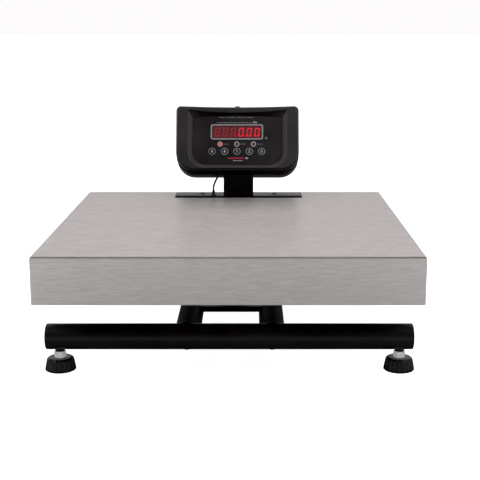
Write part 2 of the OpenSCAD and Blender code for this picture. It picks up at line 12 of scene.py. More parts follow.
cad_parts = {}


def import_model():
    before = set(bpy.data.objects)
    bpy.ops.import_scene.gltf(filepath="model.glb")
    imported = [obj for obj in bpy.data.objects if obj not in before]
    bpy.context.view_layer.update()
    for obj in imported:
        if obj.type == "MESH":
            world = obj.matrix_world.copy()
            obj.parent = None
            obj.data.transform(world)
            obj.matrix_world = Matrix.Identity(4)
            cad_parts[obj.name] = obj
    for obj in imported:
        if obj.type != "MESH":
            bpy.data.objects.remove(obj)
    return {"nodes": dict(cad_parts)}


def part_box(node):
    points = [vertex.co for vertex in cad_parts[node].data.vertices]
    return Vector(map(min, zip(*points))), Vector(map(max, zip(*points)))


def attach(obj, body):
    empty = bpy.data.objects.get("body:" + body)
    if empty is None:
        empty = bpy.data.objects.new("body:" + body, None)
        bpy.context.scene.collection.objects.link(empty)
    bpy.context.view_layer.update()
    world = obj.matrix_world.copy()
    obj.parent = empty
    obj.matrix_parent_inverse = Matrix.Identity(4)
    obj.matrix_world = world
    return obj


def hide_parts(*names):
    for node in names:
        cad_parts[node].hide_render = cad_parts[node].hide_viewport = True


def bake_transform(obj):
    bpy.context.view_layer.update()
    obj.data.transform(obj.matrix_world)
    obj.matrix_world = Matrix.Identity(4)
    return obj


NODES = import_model()["nodes"]
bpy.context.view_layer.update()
MM = 0.001

PAN_LO, PAN_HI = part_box("weighing_pan")
PAN_TOP = PAN_HI.z
FEET = ("front_left", "front_right", "rear_left", "rear_right")

# Column and its bracket, m
COL_X = 0.008
BRACKET_Y = 0.189                # front face of the bracket's upright part
BRACKET_T = 3.0 * MM
BOLT_X, BOLT_Y = 0.0608, 0.210   # bracket bolts, either side of the column
CABLE_HOLE = (-0.0337, 0.196)    # where the cable comes up through the pan
CABLE_EXIT = (-0.0275, 0.200)    # where it enters the rear housing

# Head
HEAD_X = COL_X - 0.0014
TILT = radians(20.0)
HEAD = Matrix.Translation((HEAD_X, 0.1638, PAN_TOP + 0.0495)) @ Matrix.Rotation(-TILT, 4, "X")
HEAD_W, HEAD_H = 101.2, 109.0    # half width and height, mm
SAG = 1.9          # dip of the top edge at its middle, mm
FLOOR_D = 7.0      # depth of the overlay's back below the face, mm
STEP_D = 20.0      # front shell depth, mm
HEAD_D = 60.0      # housing depth, mm
REAR_DROP = 2.0    # rear shell's reach below the front one, mm
WALL = 2.9         # inset of the shells' cavities, mm

# Face layout, mm
WIN_U, WIN_V = -1.0, 65.8
LAMP_U, LAMP_V = (-28.6, -1.1, 26.4), 45.3
KEY_U = {"up_key": -41.6, "down_key": -21.2, "tare_key": -0.9, "zero_key": 19.5, "unit_key": 39.8}
KEY_V = 33.1


def centre(node):
    return tuple((a + b) / 2 for a, b in zip(*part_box(node)))


# ------------------------------------------------------------------ shader helpers
class Graph:
    """A shader node tree, with short ways to add and link nodes."""

    def __init__(self, tree):
        self.tree = tree

    def node(self, kind, **props):
        new = self.tree.nodes.new("ShaderNode" + kind)
        for key, value in props.items():
            setattr(new, key, value)
        return new

    def feed(self, node, inputs):
        """Set inputs to numbers or RGB colours, or link them to other nodes' outputs."""
        for key, value in inputs.items():
            if isinstance(value, tuple):
                node.inputs[key].default_value = (*value, 1)
            elif isinstance(value, (int, float)):
                node.inputs[key].default_value = value
            else:
                self.tree.links.new(value, node.inputs[key])
        return node.outputs

    def object_vector(self):
        coords = self.node("TexCoord").outputs["Object"]
        return self.feed(self.node("Mapping"), {"Vector": coords})["Vector"]

    def split(self, vector):
        return self.feed(self.node("SeparateXYZ"), {0: vector})

    def combine(self, x, y, z):
        return self.feed(self.node("CombineXYZ"), {0: x, 1: y, 2: z})[0]

    def noise(self, vector, scale, detail=3.0, rough=0.5):
        inputs = {"Vector": vector, "Scale": scale, "Detail": detail, "Roughness": rough}
        return self.feed(self.node("TexNoise"), inputs)["Fac"]

    def remap(self, value, span, to=(0.0, 1.0), curve="LINEAR"):
        """Take the range span to the range to, clamped at both ends."""
        inputs = {"Value": value, "From Min": span[0], "From Max": span[1],
                  "To Min": to[0], "To Max": to[1]}
        return self.feed(self.node("MapRange", interpolation_type=curve), inputs)["Result"]

    def smooth(self, value, span, to):
        return self.remap(value, span, to, curve="SMOOTHSTEP")

    def mix(self, factor, a, b):
        inputs = {"Factor": factor, 6: a, 7: b}
        return self.feed(self.node("Mix", data_type="RGBA"), inputs)[2]

    def math(self, operation, *values):
        return self.feed(self.node("Math", operation=operation), dict(enumerate(values)))[0]

    def add(self, a, b):
        return self.math("ADD", a, b)

    def mul(self, a, b):
        return self.math("MULTIPLY", a, b)

    def bump(self, height, strength, distance):
        inputs = {"Strength": strength, "Distance": distance, "Height": height}
        return self.feed(self.node("Bump"), inputs)["Normal"]


MATERIALS = {}


def new_material(name):
    material = bpy.data.materials.new(name)
    material.use_nodes = True
    MATERIALS[name] = material
    return Graph(material.node_tree), material.node_tree.nodes["Principled BSDF"]


def tone(colour, gain, lift=0.0):
    return tuple(c * gain + lift for c in colour)


# ------------------------------------------------------------------ materials
def coat(name, colour, rough, spec, grain, relief,
         wear=0.0, occlusion=0.0, under=0.0, painted_top_sheen=0.0, slope=0.0):
    """Powder coat or moulded plastic: fine texture, cloudy gloss, worn edges, painted shade and
    painted highlights.

    grain is the noise scale and relief the bump strength. occlusion is the reach in metres of
    the painted shade in crevices, under paints shade on faces that look down, dust paints a
    pale sheen on faces that look up, a painted reflection, and slope paints highlights on
    the rounded corners and the faces that lean upwards.
    """
    g, bsdf = new_material(name)
    vector = g.object_vector()
    cloud = g.noise(vector, scale=14.0, detail=4, rough=0.55)
    fine = g.noise(vector, scale=grain, detail=2, rough=0.6)
    speck = g.noise(vector, scale=grain * 0.35, detail=3, rough=0.7)
    base = g.mix(g.remap(cloud, span=(0.35, 0.7)), colour, tone(colour, gain=1.6, lift=0.004))
    speckle = g.remap(speck, span=(0.58, 0.8), to=(0, 0.35))
    base = g.mix(speckle, base, tone(colour, gain=2.2, lift=0.008))
    if wear > 0:
        pointiness = g.node("NewGeometry").outputs["Pointiness"]
        base = g.mix(g.remap(pointiness, span=(0.52, 0.6), to=(0, wear)), base, (0.16, 0.155, 0.15))
    if under > 0 or painted_top_sheen > 0:
        normal_x, normal_y, normal_z = g.split(g.node("NewGeometry").outputs["True Normal"])
    if slope > 0:
        # painted highlights on the rounded corners and on the faces that lean upwards
        corner = g.mul(g.mul(normal_x, normal_y), g.mul(g.mul(normal_x, normal_y), 4.0))
        shine = g.math("MAXIMUM", g.remap(corner, span=(0.3, 0.85), to=(0.0, slope)),
                       g.remap(normal_z, span=(0.55, 0.85), to=(0.0, slope)))
        base = g.mix(shine, base, tone(colour, gain=3.2))
    if painted_top_sheen > 0:
        # painted reflection: faces that look up are lightened towards pale grey
        film = g.remap(normal_z, span=(0.9, 0.99), to=(0.0, painted_top_sheen))
        base = g.mix(film, base, (0.92, 0.90, 0.89))
    # painted shade: crevices darkened through ambient occlusion, and faces that look down darkened
    # further
    if occlusion > 0:
        shade = g.node("AmbientOcclusion", samples=6)
        open_sky = g.feed(shade, {"Distance": occlusion})["AO"]
        lit = g.remap(open_sky, span=(0.25, 0.85), to=(0.12, 1.0))
        if under > 0:
            lit = g.mul(lit, g.remap(g.add(normal_z, 1.0), span=(0.80, 1.22), to=(1.0 - under, 1.0)))
        base = g.mix(lit, (0.0008, 0.0007, 0.0007), base)
        spec = g.mul(lit, spec)
    gloss = g.remap(cloud, span=(0.3, 0.75), to=(rough - 0.05, rough + 0.07))
    gloss = g.add(gloss, g.remap(fine, span=(0.3, 0.7), to=(-0.05, 0.05)))
    height = g.add(fine, g.mul(speck, 0.6))
    g.feed(bsdf, {"Base Color": base, "Roughness": gloss, "Specular IOR Level": spec,
                  "Normal": g.bump(height, strength=relief, distance=0.00012)})


def brushed_steel(name):
    """Sheet ground in one direction before folding.

    The grain runs along X on the top, front and back, and along Z on the two sides.
    """
    dark, light, warm = (0.50, 0.468, 0.462), (0.80, 0.752, 0.745), (0.67, 0.62, 0.605)
    fold_shade, upright_highlight, scratch = (0.10, 0.09, 0.088), (0.97, 0.925, 0.915), (0.33, 0.31, 0.305)
    g, bsdf = new_material(name)
    position = g.node("TexCoord").outputs["Object"]
    x, y, z = g.split(position)
    normal = g.node("NewGeometry").outputs["True Normal"]
    normal_x, normal_y, normal_z = g.split(normal)
    side = g.math("GREATER_THAN", g.math("ABSOLUTE", normal_x), 0.72)
    not_side = g.math("SUBTRACT", 1.0, side)
    along = g.add(g.mul(x, not_side), g.mul(z, side))
    across = g.add(g.mul(g.add(y, z), not_side), g.mul(y, side))

    def streak(scale_along, scale_across, detail, seed):
        vector = g.combine(g.mul(along, scale_along), g.mul(across, scale_across), seed)
        return g.noise(vector, scale=1.0, detail=detail, rough=0.6)

    fine = streak(scale_along=75.0, scale_across=1700.0, detail=3, seed=3.1)
    medium = streak(scale_along=46.0, scale_across=900.0, detail=2, seed=9.4)
    broad = streak(scale_along=5.0, scale_across=210.0, detail=2, seed=17.7)
    cloud = g.noise(position, scale=3.0, detail=2, rough=0.5)
    lines = g.add(g.mul(fine, 0.35), g.mul(medium, 0.65))
    base = g.mix(g.remap(lines, span=(0.32, 0.68)), dark, light)
    base = g.mix(g.remap(broad, span=(0.35, 0.7), to=(0.0, 0.16)), base, warm)
    facing_y = g.math("ABSOLUTE", normal_y)
    # painted shade darkens the rounded folds, and a painted highlight makes the upright front and
    # back brighter than the top
    fold = g.mul(g.mul(normal_z, facing_y), 2.0)
    base = g.mix(g.remap(fold, span=(0.35, 0.8), to=(0.0, 0.62)), base, fold_shade)
    base = g.mix(g.remap(facing_y, span=(0.9, 0.98), to=(0.0, 0.55)), base, upright_highlight)
    base = g.mix(g.remap(lines, span=(0.38, 0.62), to=(0.22, 0.0)), base, scratch)
    gloss = g.remap(lines, span=(0.3, 0.7), to=(0.36, 0.46))
    gloss = g.add(gloss, g.remap(cloud, span=(0.3, 0.7), to=(-0.015, 0.02)))
    grain = g.combine(not_side, 0.0, side)
    tangent = g.feed(g.node("VectorMath", operation="CROSS_PRODUCT"), {0: normal, 1: grain})[0]
    g.feed(bsdf, {"Base Color": base, "Metallic": 0.55, "Roughness": gloss, "Anisotropic": 0.85,
                  "Tangent": tangent, "Normal": g.bump(lines, strength=0.10, distance=0.00006)})


def metal(name, colour, rough, metallic, painted_glow):
    """Small plated or bare metal parts; bloom sets a faint glow painted on them, though they give no
    light.
    """
    g, bsdf = new_material(name)
    vector = g.object_vector()
    cloud = g.noise(vector, scale=160.0, detail=3, rough=0.6)
    fine = g.noise(vector, scale=1400.0, detail=2, rough=0.6)
    g.feed(bsdf, {
        "Emission Color": colour, "Emission Strength": painted_glow, "Metallic": metallic,
        "Base Color": g.mix(g.remap(cloud, span=(0.35, 0.7)), tone(colour, gain=0.85), colour),
        "Roughness": g.remap(cloud, span=(0.3, 0.7), to=(rough - 0.06, rough + 0.1)),
        "Normal": g.bump(fine, strength=0.1, distance=0.00008)})


def glow(name, colour, strength, base):
    """A surface that gives light, or a painted glow on a part that gives none."""
    g, bsdf = new_material(name)
    mottle = g.noise(g.object_vector(), scale=500.0, detail=2)
    power = g.remap(mottle, span=(0.2, 0.8), to=(strength * 0.92, strength * 1.05))
    g.feed(bsdf, {"Base Color": g.mix(mottle, base, tone(base, gain=1.2)), "Roughness": 0.4,
                  "Emission Color": colour, "Emission Strength": power})


def ink(name, colour):
    """Printing on the overlay and keys."""
    g, bsdf = new_material(name)
    mottle = g.noise(g.object_vector(), scale=1800.0, detail=2)
    g.feed(bsdf, {"Base Color": g.mix(mottle, tone(colour, gain=0.86), colour),
                  "Roughness": g.remap(mottle, span=(0.2, 0.8), to=(0.44, 0.56))})


def red_filter(name):
    """Red display filter: a tinted, see-through film with a soft gloss."""
    g, bsdf = new_material(name)
    clear = g.feed(g.node("BsdfTransparent"), {"Color": (0.72, 0.25, 0.27)})
    mottle = g.noise(g.object_vector(), scale=900.0, detail=2)
    film = g.feed(bsdf, {"Base Color": g.mix(mottle, (0.205, 0.074, 0.090), (0.235, 0.084, 0.102)),
                         "Roughness": g.remap(mottle, span=(0.2, 0.8), to=(0.28, 0.36))})
    film_share = 0.42
    surface = g.feed(g.node("MixShader"), {0: film_share, 1: clear[0], 2: film[0]})[0]
    g.feed(g.tree.nodes["Material Output"], {"Surface": surface})


brushed_steel("brushed_stainless")
# black paint: faces that look up get a painted pale sheen, standing in for the reflection they catch
coat("black_paint_mat", (0.0018, 0.0017, 0.0017), rough=0.42, spec=0.14, grain=800, relief=0.10,
     painted_top_sheen=0.145)
coat("black_tube_mat", (0.0050, 0.0046, 0.0047), rough=0.33, spec=0.27, grain=700, relief=0.14,
     wear=0.03)
# the rails: a darker, duller copy of the tube paint, a painted shade for the rails under the pan
coat("rail_paint_shaded_mat", (0.0012, 0.0011, 0.0012), rough=0.50, spec=0.05, grain=700, relief=0.14)
# housings: painted shade in crevices and on faces that look down; the front one also gets painted
# highlights on its rounded corners and upward-leaning faces
coat("housing_abs_mat", (0.0185, 0.0160, 0.0167), rough=0.45, spec=0.5, grain=1100, relief=0.22,
     wear=0.02, occlusion=0.005, under=0.80, slope=0.62)
coat("rear_abs_mat", (0.0120, 0.0104, 0.0108), rough=0.48, spec=0.36, grain=1100, relief=0.22,
     wear=0.02, occlusion=0.006, under=0.84)
coat("overlay_film_mat", (0.0150, 0.0132, 0.0140), rough=0.34, spec=0.45, grain=1500, relief=0.05)
# knobs: painted shade in their crevices
coat("knob_nylon_mat", (0.0024, 0.0022, 0.0023), rough=0.20, spec=0.34, grain=900, relief=0.10,
     wear=0.04, occlusion=0.0022)
coat("rubber_mat", (0.014, 0.014, 0.014), rough=0.75, spec=0.3, grain=900, relief=0.2)
coat("cable_pvc_mat", (0.010, 0.010, 0.010), rough=0.45, spec=0.4, grain=900, relief=0.08)
# zinc parts: a faint painted glow, though they give no light
metal("zinc_mat", (0.92, 0.90, 0.89), rough=0.30, metallic=0.30, painted_glow=0.25)
metal("black_oxide_mat", (0.17, 0.165, 0.165), rough=0.45, metallic=0.4, painted_glow=0.0)
metal("aluminium_mat", (0.72, 0.73, 0.75), rough=0.35, metallic=1.0, painted_glow=0.0)
coat("potting_mat", (0.62, 0.62, 0.60), rough=0.5, spec=0.5, grain=400, relief=0.15)
coat("board_mat", (0.012, 0.10, 0.035), rough=0.3, spec=0.5, grain=500, relief=0.1)
coat("switch_mat", (0.02, 0.02, 0.02), rough=0.45, spec=0.5, grain=700, relief=0.1)
red_filter("display_window_mat")
glow("segment_lit_mat", (1.0, 0.13, 0.14), strength=4.2, base=(0.2, 0.01, 0.01))
# painted glow: the unlit segments and the digit modules' face give no light of their own
glow("segment_ghost_mat", (1.0, 0.20, 0.22), strength=1.15, base=(0.30, 0.16, 0.16))
glow("module_face_mat", (1.0, 0.35, 0.45), strength=0.06, base=(0.05, 0.012, 0.014))
glow("led_on_mat", (1.0, 0.065, 0.07), strength=0.68, base=(0.35, 0.02, 0.02))
coat("led_off_mat", (0.16, 0.02, 0.025), rough=0.3, spec=0.5, grain=600, relief=0.05)
ink("white_ink_mat", (0.52, 0.52, 0.52))
ink("border_ink_mat", (0.37, 0.37, 0.375))
ink("bright_ink_mat", (0.72, 0.72, 0.72))
ink("dim_ink_mat", (0.36, 0.36, 0.365))
ink("red_ink_mat", (0.42, 0.022, 0.045))

# Material of each CAD piece
MATERIAL_NODES = {
    "brushed_stainless": ["weighing_pan"],
    "black_tube_mat": ["front_cross_tube", "rear_cross_tube", "foot_bosses"],
    "rail_paint_shaded_mat": ["left_rail", "right_rail"],
    "black_paint_mat": ["cell_base_plate", "spider_plate", "spider_cross_beams",
                        "spider_side_beams", "indicator_bracket"],
    "knob_nylon_mat": ["tube_end_plugs", "beam_end_plugs"] + [foot + "_knob" for foot in FEET],
    "zinc_mat": ["lower_cell_screws", "upper_cell_screws", "overload_stop_screws",
                 "overload_stop_nuts", "bracket_nuts", "head_nuts", "housing_screws",
                 "board_screws"] + [foot + "_stud" for foot in FEET],
    "black_oxide_mat": ["bracket_screws", "head_screws"],
    "aluminium_mat": ["load_cell", "lower_cell_spacer", "upper_cell_spacer"],
    "potting_mat": ["load_cell_potting"],
    "rubber_mat": ["rubber_buffers"] + [foot + "_pad" for foot in FEET],
    "housing_abs_mat": ["front_housing"],
    "rear_abs_mat": ["rear_housing"],
    "overlay_film_mat": ["overlay_panel", *KEY_U],
    "display_window_mat": ["display_window"],
    "module_face_mat": ["digit_modules"],
    "led_off_mat": ["status_leds"],
    "board_mat": ["main_board"],
    "switch_mat": ["key_switches", "power_inlet"],
    "cable_pvc_mat": ["load_cell_cable", "load_cell_cable_boot", "cable_grommet", "cable_gland"],
}
NODE_MATERIAL = {node: name for name, nodes in MATERIAL_NODES.items() for node in nodes}


def set_material(mesh, name):
    mesh.materials.clear()
    mesh.materials.append(MATERIALS[name])


for node_name, node in NODES.items():
    set_material(node.data, NODE_MATERIAL[node_name])


# ------------------------------------------------------------------ mesh helpers
def add_object(name, mesh, material):
    mesh.name = name
    obj = bpy.data.objects.new(name, mesh)
    bpy.context.scene.collection.objects.link(obj)
    set_material(mesh, material)
    return obj


def piece(name, mesh, material, replaces=None, body="platform"):
    """A finished piece that moves with a body, in place of a CAD piece if one is given."""
    obj = add_object(name, mesh, material)
    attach(obj, body)
    if replaces:
        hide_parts(replaces)


def finish_mesh(mesh, angle=32.0):
    """Outward normals, smooth shading, and sharp edges where faces turn by more than angle."""
    bm = bmesh.new()
    bm.from_mesh(mesh)
    bmesh.ops.remove_doubles(bm, verts=bm.verts, dist=1e-7)
    bmesh.ops.dissolve_degenerate(bm, dist=1e-8, edges=bm.edges)
    bmesh.ops.recalc_face_normals(bm, faces=bm.faces)
    for face in bm.faces:
        face.smooth = True
    for edge in bm.edges:
        turns = len(edge.link_faces) == 2 and edge.calc_face_angle(0.0) > radians(angle)
        edge.smooth = not turns
    bm.to_mesh(mesh)
    bm.free()
    mesh.update()
    return mesh


def loft(rings, close=False, angle=32.0, xf=None):
    """Rings of equal length joined by quads, capped unless the last joins the first."""
    n, count = len(rings[0]), len(rings)
    faces = []
    for i in range(count if close else count - 1):
        a, b = i * n, ((i + 1) % count) * n
        for j in range(n):
            k = (j + 1) % n
            faces.append((a + j, a + k, b + k, b + j))
    if not close:
        faces.append(tuple(range(n))[::-1])
        faces.append(tuple(range((count - 1) * n, count * n)))
    mesh = bpy.data.meshes.new("part")
    mesh.from_pydata([tuple(point) for ring in rings for point in ring], [], faces)
    if xf is not None:
        mesh.transform(xf)
    return finish_mesh(mesh, angle)


def join(meshes, angle=32.0):
    bm = bmesh.new()
    for mesh in meshes:
        bm.from_mesh(mesh)
    joined = bpy.data.meshes.new("part")
    bm.to_mesh(joined)
    bm.free()
    return finish_mesh(joined, angle)


def at(outline_uv, depth):
    """An outline of (u, v) in mm, as a ring in metres at a depth in mm in the head's frame."""
    return [(u * MM, depth * MM, v * MM) for u, v in outline_uv]


def prism(outline_uv, depths):
    """A flat outline on the head, made solid between two depths."""
    return loft([at(outline_uv, depth) for depth in depths], xf=HEAD)


def ring_plate(outer, inner, depths):
    """A flat ring on the head between two outlines with the same number of points."""
    front, back = depths
    rings = [at(outer, front), at(inner, front), at(inner, back), at(outer, back)]
    return loft(rings, close=True, xf=HEAD)


def circle(u, v, radius, n=40):
    return [(u + radius * cos(2 * pi * i / n), v + radius * sin(2 * pi * i / n)) for i in range(n)]


def rounded_rect(u, v, half_w, half_h, radius, n):
    """n + 1 points on each rounded corner, counter-clockwise from the right side."""
    dx, dy = half_w - radius, half_h - radius
    points = []
    for corner_x, corner_y, start in ((dx, dy, 0), (-dx, dy, 90), (-dx, -dy, 180), (dx, -dy, 270)):
        for i in range(n + 1):
            a = radians(start + 90 * i / n)
            points.append((u + corner_x + radius * cos(a), v + corner_y + radius * sin(a)))
    return points


def upright_cylinder(x, y, radius, z0, z1, n):
    return loft([[(px, py, z) for px, py in circle(x, y, radius, n)] for z in (z0, z1)])


def sweep(points, radius, n, closed=False, angle=40.0):
    """A round bar along points in metres, with frames carried along the path.

    radius is a function of the share of the path, from 0 to 1.
    """
    path = [Vector(p) for p in points]
    count = len(path)
    tangents = []
    for i in range(count):
        before = path[(i - 1) % count] if (closed or i > 0) else path[i]
        after = path[(i + 1) % count] if (closed or i < count - 1) else path[i]
        tangents.append((after - before).normalized())
    first = tangents[0]
    reference = Vector((0, 0, 1)) if abs(first.z) < 0.9 else Vector((1, 0, 0))
    normal = (reference - first * reference.dot(first)).normalized()
    rings = []
    for i, (point, tangent) in enumerate(zip(path, tangents)):
        normal = (normal - tangent * normal.dot(tangent)).normalized()
        binormal = tangent.cross(normal)
        r = radius(i / (count if closed else count - 1))
        rings.append([point + (normal * cos(2 * pi * k / n) + binormal * sin(2 * pi * k / n)) * r
                      for k in range(n)])
    return loft(rings, close=closed, angle=angle)


def boolean(mesh, tool, operation="DIFFERENCE"):
    """The exact difference or union of two meshes."""
    collection = bpy.context.scene.collection
    target = bpy.data.objects.new("tmp_a", mesh)
    cutter = bpy.data.objects.new("tmp_b", tool)
    collection.objects.link(target)
    collection.objects.link(cutter)
    modifier = target.modifiers.new("b", "BOOLEAN")
    modifier.object = cutter
    modifier.operation = operation
    modifier.solver = "EXACT"
    depsgraph = bpy.context.evaluated_depsgraph_get()
    depsgraph.update()
    result = bpy.data.meshes.new_from_object(target.evaluated_get(depsgraph))
    bpy.data.objects.remove(target)
    bpy.data.objects.remove(cutter)
    return result


def box_mesh(lo, hi):
    x0, y0, z0 = lo
    x1, y1, z1 = hi
    return loft([[(x0, y0, z), (x1, y0, z), (x1, y1, z), (x0, y1, z)] for z in (z0, z1)])


def bevel_box(lo, hi, bevel, segments=2, xf=None):
    mesh = box_mesh(lo, hi)
    bm = bmesh.new()
    bm.from_mesh(mesh)
    bmesh.ops.bevel(bm, geom=list(bm.edges), offset=bevel, segments=segments, profile=0.5,
                    affect="EDGES", clamp_overlap=True)
    bm.to_mesh(mesh)
    bm.free()
    if xf is not None:
        mesh.transform(xf)
    return finish_mesh(mesh, 35)


def plate_holes(z0, z1, n):
    """Cutters for the two bolt holes and the cable hole, which pass through pan and bracket."""
    bolt_radius, cable_radius = 0.00275, 0.0032
    holes = [upright_cylinder(COL_X + side * BOLT_X, BOLT_Y, bolt_radius, z0, z1, n)
             for side in (-1, 1)]
    holes.append(upright_cylinder(*CABLE_HOLE, cable_radius, z0, z1, n))
    return join(holes)


# ------------------------------------------------------------------ weighing pan
def make_pan():
    """Folded sheet with a rounded rim, open below."""
    half_x, half_y = PAN_HI.x, PAN_HI.y
    top, low = PAN_TOP, PAN_LO.z
    sheet, bend, corner = 1.2 * MM, 3.0 * MM, 1.6 * MM
    inner_bend = bend - sheet
    skirt_top = top - bend - 1.0 * MM

    def ring(inset, radius, z):
        points = rounded_rect(0, 0, half_x - inset, half_y - inset, radius, 6)
        return [(x, y, z) for x, y in points]

    # outside, from the middle of the top outwards and down
    rings = [ring(bend + 0.8 * MM, 0.3 * MM, top)]
    for i in range(9):
        a = radians(90 * (1 - i / 8))
        inset = bend * (1 - cos(a))
        rings.append(ring(inset, corner * (1 - 0.75 * inset / bend), top - bend + bend * sin(a)))
    rings += [
        ring(0, corner, skirt_top),
        ring(0, corner, low + 1.2 * MM),
        ring(0.05 * MM, corner, low + 0.35 * MM),
        ring(0.3 * MM, corner, low),
        # inside, back up
        ring(sheet - 0.2 * MM, corner * 0.6, low),
        ring(sheet, corner * 0.6, low + 0.3 * MM),
        ring(sheet, corner * 0.6, skirt_top),
    ]
    for i in range(5):
        a = radians(90 * i / 4)
        inset = sheet + inner_bend * (1 - cos(a))
        rings.append(ring(inset, corner * 0.5, top - bend + inner_bend * sin(a)))
    rings.append(ring(bend + 0.8 * MM, 0.2 * MM, top - sheet))
    mesh = boolean(loft(rings, angle=40), plate_holes(top - 4 * MM, top + 2 * MM, 24))
    piece("pan_sheet", finish_mesh(mesh, 40), "brushed_stainless", "weighing_pan")


make_pan()


# ------------------------------------------------------------------ head shells
# Points on the bottom edge, a lower corner, a side, an upper corner and the top edge
N_BOTTOM, N_LOWER, N_SIDE, N_UPPER, N_TOP = 22, 14, 12, 8, 34
TOP_START = N_BOTTOM + N_LOWER + N_SIDE       # first point of the right upper corner
TOP_END = TOP_START + N_UPPER + N_TOP + N_UPPER


def outline(half, low, low_radius, top, top_radius, arch):
    """Counter-clockwise outline from the left end of the bottom edge.

    The top edge is a curve that stands arch mm above (or sags below) the straight line
    between the top corners.
    """
    points = []

    def straight(x0, y0, x1, y1, count):
        for i in range(count):
            t = i / count
            points.append((x0 + (x1 - x0) * t, y0 + (y1 - y0) * t))

    def corner(x, y, radius, start, count):
        for i in range(count):
            a = radians(start + 90 * i / count)
            points.append((x + radius * cos(a), y + radius * sin(a)))

    low_x, low_y = half - low_radius, low + low_radius
    top_x, top_y = half - top_radius, top - top_radius
    straight(-low_x, low, low_x, low, N_BOTTOM)
    corner(low_x, low_y, low_radius, -90, N_LOWER)
    straight(half, low_y, half, top_y, N_SIDE)
    corner(top_x, top_y, top_radius, 0, N_UPPER)
    for i in range(N_TOP):
        x = top_x - 2 * top_x * (i / N_TOP)
        points.append((x, top + arch * (1 - (x / top_x) ** 2)))
    corner(-top_x, top_y, top_radius, 90, N_UPPER)
    straight(-half, top_y, -half, low_y, N_SIDE)
    corner(-low_x, low_y, low_radius, 180, N_LOWER)
    return points


def head_ring(inset, drop=0.0):
    return outline(HEAD_W - inset, inset - drop, 31 - inset, HEAD_H - inset,
                   max(8 - inset, 0.8), -SAG)


OPENING = outline(80.9, 4.9, 27.6, 101.3, 1.6, -4.3)   # the recess at the face
PANEL = outline(73.6, 11.3, 21.9, 89.7, 0.9, 4.3)      # the recess at its floor


def blend_points(a, b, t):
    return (a[0] + (b[0] - a[0]) * t, a[1] + (b[1] - a[1]) * t)


def mixed(a, b, t):
    return [blend_points(p, q, t) for p, q in zip(a, b)]


def smoothstep(t):
    return t * t * (3 - 2 * t)


# 1 along the bottom edge, fading to 0 up the two lower corners
LOW_WEIGHT = (
    [1.0] * N_BOTTOM
    + [1.0 - smoothstep(i / N_LOWER) for i in range(N_LOWER)]
    + [0.0] * (TOP_END - TOP_START + 2 * N_SIDE)
    + [1.0 - smoothstep(1 - i / N_LOWER) for i in range(N_LOWER)]
)


def lip_ring(side, low):
    """The head's outline inset by side mm at the sides and top, and by low mm at the bottom."""
    return [blend_points(p, q, weight)
            for p, q, weight in zip(head_ring(side), head_ring(low), LOW_WEIGHT)]


# Outside of the front shell, from its back edge forwards: side inset, bottom inset, depth, mm
FRONT_WALL = (
    (0.4, 0.4, STEP_D), (0.4, 0.5, 16.0), (0.4, 0.9, 11.0), (0.45, 1.5, 8.4), (0.6, 1.9, 7.8),
    (1.5, 2.2, 7.6), (1.6, 5.2, 7.4), (1.6, 5.2, 3.8), (1.5, 2.9, 3.6),
)


def pocket(gap):
    """Room for the bracket's upper part, with a gap round it in mm."""
    gap *= MM
    half, front, back, height = 0.084, 0.1848, 0.1922, 0.058
    return box_mesh((COL_X - half - gap, front - gap, PAN_TOP - gap),
                    (COL_X + half + gap, back + gap, PAN_TOP + height + gap))


def bore(u, v, depths, radius):
    return prism(circle(u, v, radius), depths)


def make_front():
    rings = [at(lip_ring(side, low), depth) for side, low, depth in FRONT_WALL]
    # rounded outer edge of the face
    radius, side_inset, edge_low = 3.2, 0.4, 3.8
    for i in range(8):
        a = radians(90 * i / 7)
        q = 1 - cos(a)
        ring = lip_ring(side_inset + radius * q, 2.5 + 1.3 * q)
        rings.append(at(ring, radius + 0.25 - radius * sin(a)))
    edge = lip_ring(side_inset + radius, edge_low)
    # gently crowned face, in to the recess
    for t in (0.12, 0.3, 0.5, 0.7, 0.86, 0.95):
        if t < 0.67:
            depth = 0.3 * (1 - sin(pi * t * 0.75))
        else:
            depth = 0.35 * ((t - 0.67) / 0.33) ** 2
        rings.append(at(mixed(edge, OPENING, t), depth))
    # recess walls, steeper at the outer end of the top one
    rim_depth = 0.36
    for t in (0.0, 0.06, 0.14, 0.24, 0.36, 0.5, 0.64, 0.78, 0.9, 1.0):
        ring = []
        for k, (u, v) in enumerate(mixed(OPENING, PANEL, t)):
            if TOP_START + 2 <= k <= TOP_END - 2:
                fall = min(1.0, t / 0.06) * 0.22 + 0.78 * t
            else:
                fall = t ** 1.06
            ring.append((u * MM, (rim_depth + (FLOOR_D - rim_depth) * fall) * MM, v * MM))
        rings.append(ring)
    rings.append(at(mixed(PANEL, [(0, 50)] * len(PANEL), 0.02), FLOOR_D))
    solid = loft(rings, xf=HEAD, angle=38)
    cavity = prism(head_ring(WALL), (STEP_D + 2, FLOOR_D + 2.5))
    mesh = boolean(solid, cavity)

    through = (FLOOR_D - 2, FLOOR_D + 4)
    holes = [bore(u, LAMP_V, through, 2.7) for u in LAMP_U]
    holes += [bore(u, KEY_V, through, 6.0) for u in KEY_U.values()]
    holes.append(prism(rounded_rect(WIN_U, WIN_V, 40.8, 10.5, 2.0, 8), through))
    mesh = boolean(mesh, join(holes))
    mesh = boolean(mesh, pocket(2.6))
    # small tab at the middle of the top edge
    tab = bevel_box((-3.7 * MM, 3.8 * MM, (HEAD_H - 8) * MM),
                    (3.7 * MM, 7.2 * MM, (HEAD_H - SAG + 1.7) * MM), 0.8 * MM, 3, HEAD)
    mesh = boolean(mesh, tab, "UNION")
    piece("front_shell", finish_mesh(mesh, 38), "housing_abs_mat",
          "front_housing")


